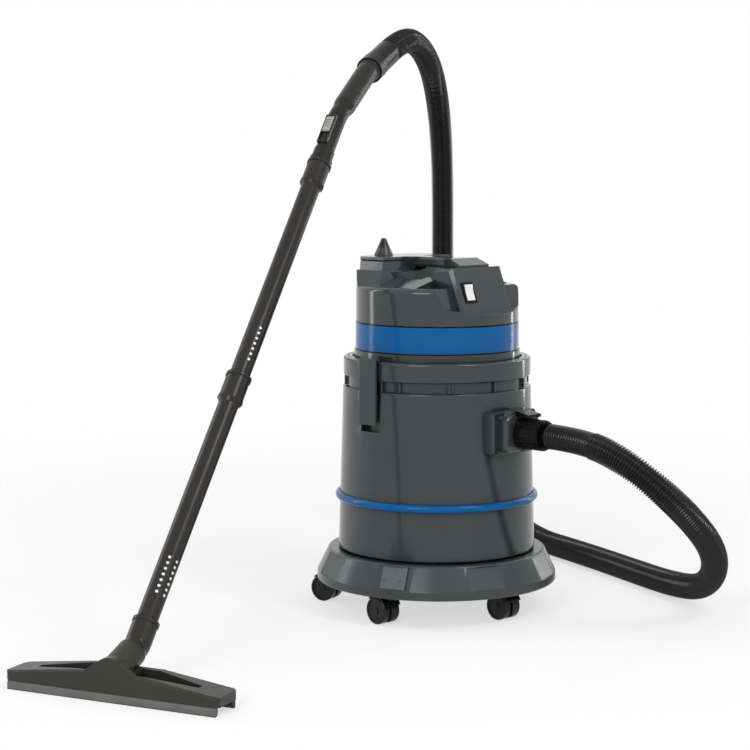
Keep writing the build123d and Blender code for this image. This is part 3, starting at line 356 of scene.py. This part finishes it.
materials = {"paper": filterPaper("filterPaper", paper)}
for name, look in plastics.items():
    materials[name] = mouldedPlastic(name + "Plastic", {**plasticBasics, **look})
for name, look in rubbers.items():
    materials[name] = rubber(name + "Rubber", {**rubberBasics, **look})
for name, look in metals.items():
    materials[name] = metal(name + "Metal", {**metalBasics, **look})
print("materials made:", len(materials))

# Which finish each piece of the frame takes
finishes = {
    "housing": ["tank", "latch_left", "latch_right", "inlet_housing", "head_base", "head_cover"],
    "gland": ["cord_gland"],
    "base": ["trolley_base"],
    "blue": ["bumper_ring"],
    "band": ["head_band"],
    "black": ["inlet_catch", "hose_inlet_cuff", "hose_handle_cuff", "switch_frame", "inlet_deflector",
              "filter_cage"],
    "grip": ["hand_grip"],
    "wand": ["upper_tube", "lower_tube", "floor_tool_elbow"],
    "tool": ["floor_tool_body"],
    "slide": ["suction_slide"],
    "rocker": ["switch_rocker"],
    "castor": [],
    "float": ["float_ball"],
    "seal": ["inlet_seal", "head_seal"],
    "frontLip": ["floor_tool_front_lip"],
    "rearLip": ["floor_tool_rear_lip"],
    "steel": ["latch_pins", "inlet_catch_pin", "head_screws", "motor_shaft", "motor_bearings"],
    "darkSteel": ["inlet_screws"],
    "aluminium": ["motor_casing", "motor_impeller"],
    "core": ["motor_stator", "motor_armature"],
    "paper": ["filter_cartridge"],
}
for number in range(1, 6):
    finishes["castor"] += [f"castor_{number}_hood", f"castor_{number}_wheels"]
    finishes["steel"].append(f"castor_{number}_stem")
for finish, names in finishes.items():
    for name in names:
        mesh = nodes[name].data
        mesh.materials.clear()
        mesh.materials.append(materials[finish])
print("finishes given to", sum(len(names) for names in finishes.values()), "nodes")


def meshPiece(name, mesh, material, smooth=True):
    bmesh.ops.recalc_face_normals(mesh, faces=mesh.faces)
    data = bpy.data.meshes.new(name)
    mesh.to_mesh(data)
    mesh.free()
    data.materials.append(material)
    data.polygons.foreach_set("use_smooth", [smooth] * len(data.polygons))
    piece = bpy.data.objects.new(name, data)
    scene.collection.objects.link(piece)
    return piece


# A round of points about a centre, in the plane of two directions
def ringOf(mesh, centre, first, second, radius, sides):
    ring = []
    for side in range(sides):
        turn = 2 * math.pi * side / sides
        ring.append(mesh.verts.new(centre + (first * math.cos(turn) + second * math.sin(turn)) * radius))
    return ring


def joinRings(mesh, low, high):
    for side in range(len(low)):
        other = (side + 1) % len(low)
        mesh.faces.new((low[side], low[other], high[other], high[side]))


# Hose: a ribbed tube along a smooth spline, from the inlet's cuff to the hand grip's cuff
hoseLook = {
    "outer": 0.024, "groove": 0.0208, "pitch": 0.0051, "sides": 36,
    "ribShape": ((0.16, 0.0), (0.30, 0.75), (0.50, 1.0), (0.70, 0.75), (0.84, 0.0)),  # along a pitch, height
    "sleeveLength": 0.098, "sleeveOuter": 0.0225, "sleeveGroove": 0.0218, "endLength": 0.010,
    "pastSwivel": 0.062, "lastRun": 0.078,
}
hoseEnd = swivelPlace + swivelAxis * hoseLook["pastSwivel"]
hoseRoute = [
    (0, -0.262, 0.342), (0, -0.350, 0.342), (0.014, -0.428, 0.312), (0.050, -0.485, 0.260),
    (0.113, -0.506, 0.200), (0.190, -0.489, 0.140), (0.264, -0.437, 0.080), (0.322, -0.364, 0.036),
    (0.362, -0.270, 0.024), (0.400, -0.160, 0.024), (0.440, -0.050, 0.024), (0.478, 0.065, 0.024),
    (0.497, 0.170, 0.028), (0.502, 0.263, 0.062), (0.489, 0.337, 0.135), (0.466, 0.386, 0.235),
    (0.451, 0.401, 0.350), (0.444, 0.400, 0.480), (0.440, 0.398, 0.610), (0.437, 0.395, 0.735),
    (0.428, 0.390, 0.845), (0.405, 0.379, 0.940), (0.352, 0.350, 1.012), (0.268, 0.306, 1.053),
    hoseEnd + swivelAxis * hoseLook["lastRun"], hoseEnd,
]


def splinePoints(route):
    curve = bpy.data.curves.new("hoseLine", "CURVE")
    curve.dimensions = "3D"
    spline = curve.splines.new("NURBS")
    spline.points.add(len(route) - 1)
    for point, place in zip(spline.points, route):
        point.co = (*place, 1)
    spline.order_u = 3
    spline.use_endpoint_u = True
    spline.resolution_u = 24
    holder = bpy.data.objects.new("hoseLine", curve)
    scene.collection.objects.link(holder)
    bpy.context.view_layer.update()
    mesh = bpy.data.meshes.new_from_object(holder.evaluated_get(bpy.context.evaluated_depsgraph_get()))
    points = [vertex.co.copy() for vertex in mesh.vertices]
    bpy.data.objects.remove(holder)
    bpy.data.curves.remove(curve)
    bpy.data.meshes.remove(mesh)
    return points


# The distance along the line at each of its points
def distancesAlong(points):
    travelled = [0.0]
    for a, b in zip(points, points[1:]):
        travelled.append(travelled[-1] + (b - a).length)
    return travelled


# The line's place and steady cross directions at each wanted distance along it
def stationsAlong(points, travelled, distances):
    across = (points[1] - points[0]).cross(Vector((0, 0, 1))).normalized()
    found = []
    index = 0
    for distance in distances:
        while index < len(points) - 2 and travelled[index + 1] < distance:
            index += 1
        run = travelled[index + 1] - travelled[index]
        share = min(1.0, (distance - travelled[index]) / run)
        before = points[max(index - 1, 0)]
        after = points[min(index + 2, len(points) - 1)]
        ahead = (after - before).normalized()
        across = (across - ahead * across.dot(ahead)).normalized()
        found.append((points[index].lerp(points[index + 1], share), across.copy(), ahead.cross(across)))
    return found


# Distance and radius of every ring, with a thinner sleeve at the inlet
def hoseProfile(length, look):
    profile = [(0.0, look["sleeveGroove"])]
    distance = look["endLength"]
    while distance + look["pitch"] < length - look["endLength"]:
        onSleeve = distance < look["sleeveLength"]
        outer = look["sleeveOuter"] if onSleeve else look["outer"]
        groove = look["sleeveGroove"] if onSleeve else look["groove"]
        for place, lift in look["ribShape"]:
            profile.append((distance + place * look["pitch"], groove + (outer - groove) * lift))
        distance += look["pitch"]
    profile.append((length, look["groove"]))
    return profile


def buildHose(look):
    points = splinePoints(hoseRoute)
    travelled = distancesAlong(points)
    length = travelled[-1]
    profile = hoseProfile(length, look)
    stations = stationsAlong(points, travelled, [distance for distance, radius in profile])
    mesh = bmesh.new()
    rings = []
    for (centre, across, up), (distance, radius) in zip(stations, profile):
        rings.append(ringOf(mesh, centre, across, up, radius, look["sides"]))
    for low, high in zip(rings, rings[1:]):
        joinRings(mesh, low, high)
    mesh.faces.new(reversed(rings[0]))
    mesh.faces.new(rings[-1])
    hose = meshPiece("suctionHose", mesh, materials["hose"])
    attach(hose, "canister")
    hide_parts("hose")
    print("hose length", round(length, 3), "rings", len(rings))


buildHose(hoseLook)

# Rows of pale dots let into the wand's tubes: distance up the wand, and turn round it in degrees
dotRows = {
    "upperDots": {"start": 0.541, "turn": 220.5, "pitch": 0.01083},
    "lowerDots": {"start": 0.091, "turn": 241.5, "pitch": 0.01033},
    "sideDots": {"start": 0.090, "turn": 193.5, "pitch": 0.01017},
}
dotLook = {"count": 7, "radius": 0.0025, "low": 0.0170, "high": 0.01768, "sides": 20}
wandFoot = Vector((-0.763477, -0.077355, 0.069))
wandTop = Vector((-0.166149, 0.136519, 0.814492))


def buildDots(name, row, look):
    along = (wandTop - wandFoot).normalized()
    side = Vector((-along.y, along.x, 0)).normalized()
    turn = math.radians(row["turn"])
    outward = side * math.cos(turn) + side.cross(along) * math.sin(turn)
    across = outward.cross(along)
    mesh = bmesh.new()
    for index in range(look["count"]):
        centre = wandFoot + along * (row["start"] + index * row["pitch"])
        rings = []
        for height in (look["low"], look["high"]):
            rings.append(ringOf(mesh, centre + outward * height, along, across, look["radius"], look["sides"]))
            mesh.faces.new(rings[-1])
        joinRings(mesh, *rings)
    dots = meshPiece(name, mesh, materials["marks"], smooth=False)
    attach(dots, "wand")


for name, row in dotRows.items():
    buildDots(name, row, dotLook)
print("wand dots made:", len(dotRows) * dotLook["count"])

# Floor, light and camera
studio = {
    "floorRadius": 7.0, "floorSides": 96, "floorColour": (0.95, 0.95, 0.95, 1), "floorRoughness": 0.9,
    "floorSpecular": 0.1, "fadeStart": 0.12, "fadeEnd": 0.34, "clearness": 0.62,
    "worldColour": (1, 1, 1, 1), "worldLight": 0.60, "aim": (0, 0, 0.40),
}
lights = {
    "key": {"place": (-3.1, -1.2, 1.7), "size": (1.4, 1.4), "power": 40.0},
    "fill": {"place": (0.2, -3.4, 1.6), "size": (1.4, 1.4), "power": 6.0},
    "glint": {"place": (-0.1, -2.2, 2.7), "size": (1.0, 0.6), "power": 24.0},
    "leftEdge": {"place": (-1.15, 2.0, 1.1), "size": (0.30, 2.0), "power": 9.0},
    "rightEdge": {"place": (2.50, -0.30, 1.1), "size": (0.14, 2.0), "power": 9.0},
}
camera = {"place": (-2.626, -2.465, 0.830), "pitch": 6.36, "heading": -45.0, "lens": 94.56, "sensor": 36.0}


# Pale near the object, where it takes the shadow, and clear further out
def buildFloor(look):
    mesh = bmesh.new()
    bmesh.ops.create_circle(mesh, cap_ends=True, segments=look["floorSides"], radius=look["floorRadius"])
    paint = Surface("paleFloor", {"Base Color": look["floorColour"], "Roughness": look["floorRoughness"],
                                  "Specular IOR Level": look["floorSpecular"]})
    away = paint.node("ShaderNodeVectorMath", {"operation": "LENGTH"}, {0: paint.place}, "Value")
    stops = ((look["fadeStart"], look["clearness"]), (look["fadeEnd"], 1.0))
    fade = paint.ramp(away / look["floorRadius"], stops)
    clear = paint.node("ShaderNodeBsdfTransparent", {}, {})
    surface = paint.node("ShaderNodeMixShader", {}, {0: fade, 1: paint.shader, 2: clear})
    floor = meshPiece("floor", mesh, paint.show(surface))


# White where it is seen, also in gloss and glass, and dimmer as light
def buildWorld(look):
    paint = Paint(bpy.data.worlds.new("studio"))
    rays = paint.node("ShaderNodeLightPath", {}, {}, "Is Camera Ray")
    seen = rays
    for ray in ("Is Glossy Ray", "Is Transmission Ray"):
        seen = paint.math("MAXIMUM", seen, rays.beside(ray))
    strength = paint.node("ShaderNodeMapRange", {}, {"Value": seen, "To Min": look["worldLight"]})
    background = paint.node("ShaderNodeBackground", {}, {"Color": look["worldColour"], "Strength": strength})
    paint.node("ShaderNodeOutputWorld", {}, {"Surface": background})
    scene.world = paint.owner


def softLight(name, look, aim):
    lamp = bpy.data.lights.new(name, "AREA")
    lamp.shape = "RECTANGLE"
    lamp.size, lamp.size_y = look["size"]
    lamp.energy = look["power"]
    holder = bpy.data.objects.new(name, lamp)
    holder.location = look["place"]
    holder.rotation_euler = (Vector(aim) - Vector(look["place"])).to_track_quat("-Z", "Y").to_euler()
    scene.collection.objects.link(holder)


def buildCamera(look):
    lens = bpy.data.cameras.new("photoCamera")
    lens.lens = look["lens"]
    lens.sensor_width = look["sensor"]
    holder = bpy.data.objects.new("photoCamera", lens)
    holder.location = look["place"]
    holder.rotation_euler = (math.radians(90 - look["pitch"]), 0, math.radians(look["heading"]))
    scene.collection.objects.link(holder)
    scene.camera = holder


buildFloor(studio)
buildWorld(studio)
for name, look in lights.items():
    softLight(name + "Light", look, studio["aim"])
buildCamera(camera)
scene.view_settings.view_transform = "Standard"
print("studio ready")
